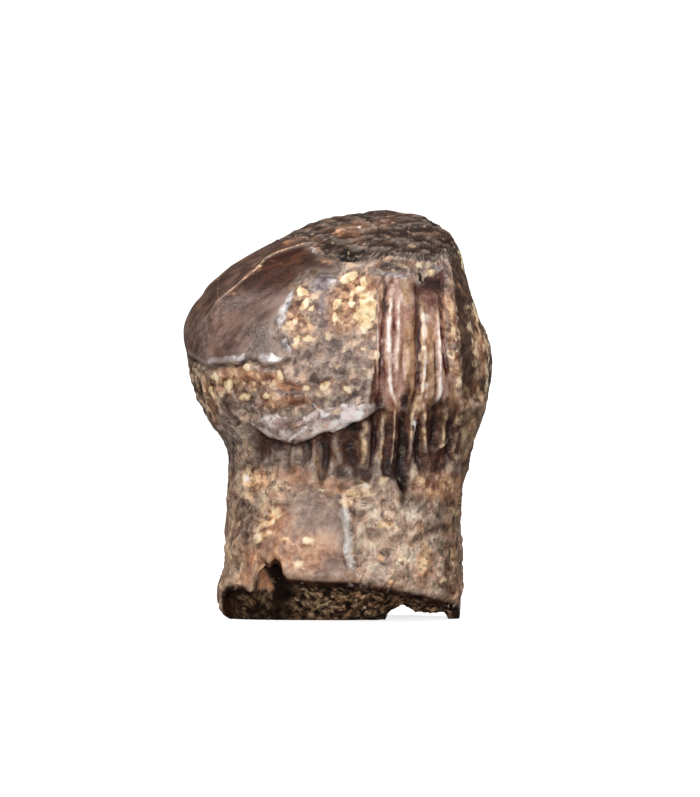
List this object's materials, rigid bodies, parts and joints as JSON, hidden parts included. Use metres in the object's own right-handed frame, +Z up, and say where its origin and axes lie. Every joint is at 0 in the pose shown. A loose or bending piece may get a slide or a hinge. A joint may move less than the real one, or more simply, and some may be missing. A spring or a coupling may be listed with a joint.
{
  "type": "thescelosaurus premaxillary tooth",
  "caption": "Fossil front tooth: a swollen, ridged crown with a worn tip and flaked enamel, a narrower neck, and a broken root stump that it stands on.",
  "frame": {"origin": "on the surface that the tooth stands on, under the middle of its outline seen from above", "axes": "+Z up along the tooth from the broken root to the worn tip, +Y from the pictured face to the back face, +X to the right of the pictured face"},
  "size_m": [0.0068, 0.0054, 0.009],
  "materials": {
    "fossil_tooth": "mineralised enamel and dentine: mottled brown, grey and gold, glossy on the enamel and ridges, rough where it is flaked and on the root"
  },
  "bodies": {
    "root": {"tooth": "fossil_tooth"}
  },
  "joints": []
}
